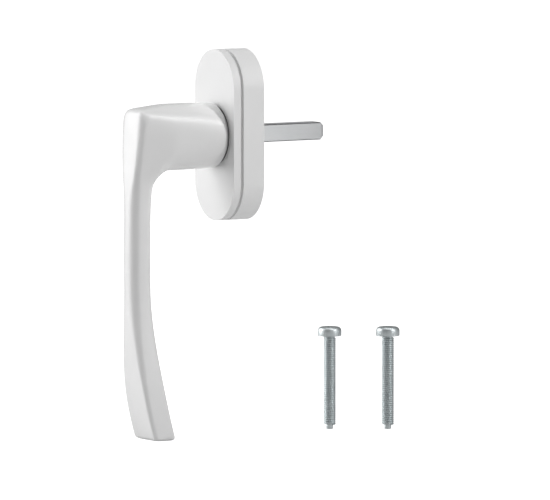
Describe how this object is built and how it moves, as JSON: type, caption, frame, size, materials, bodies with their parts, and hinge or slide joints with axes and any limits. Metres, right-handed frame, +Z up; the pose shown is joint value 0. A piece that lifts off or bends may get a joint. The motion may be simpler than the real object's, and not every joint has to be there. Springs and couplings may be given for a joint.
{
  "type": "window handle",
  "caption": "Lever handle for a tilt-and-turn window sash, with an oval rosette, a cover that turns aside, a click mechanism, a square spindle and loose fixing screws.",
  "frame": {"origin": "on the spindle's axis, in the plane of the rosette's back, which lies on the window sash", "axes": "+X across the sash, +Y into the sash along the spindle, +Z up; the lever hangs towards -Z"},
  "size_m": [0.0316, 0.1193, 0.1551],
  "materials": {
    "white_paint": "semi-gloss powder coat on die-cast metal",
    "white_plastic": "moulded, satin",
    "zinc_steel": "bright zinc plated",
    "spring_steel": "oiled spring steel",
    "cast_zinc": "die-cast, matt",
    "aluminium": "satin",
    "grey_plastic": "moulded acetal, matt"
  },
  "bodies": {
    "rosette": {"base_housing": "white_plastic", "neck_bush": "grey_plastic", "back_plate": "zinc_steel", "back_plate_rivets": "aluminium", "detent_spring_left": "spring_steel", "detent_spring_right": "spring_steel", "screw_ferrule_upper": "zinc_steel", "screw_ferrule_lower": "zinc_steel", "fixing_screw_one": "zinc_steel", "fixing_screw_two": "zinc_steel"},
    "handle": {"lever": "white_paint", "spindle": "zinc_steel", "spindle_pin": "zinc_steel", "detent_cam": "cast_zinc", "thrust_washer": "grey_plastic", "circlip": "spring_steel"},
    "clip": {"cover_clip_ring": "grey_plastic"},
    "cover": {"cover_cap": "white_plastic"}
  },
  "joints": [
    {"name": "lever_turn", "type": "hinge", "parent": "rosette", "child": "handle", "pos_m": [0, 0, 0], "axis": [0, 1, 0], "continuous": true, "deforming": ["detent_spring_left", "detent_spring_right"]},
    {"name": "cover_lift", "type": "slide", "parent": "rosette", "child": "clip", "axis": [0, -1, 0], "range_m": [0, 0.001]},
    {"name": "cover_turn", "type": "hinge", "parent": "clip", "child": "cover", "pos_m": [0, 0, 0], "axis": [0, 1, 0], "range_deg": [-90, 90]}
  ]
}
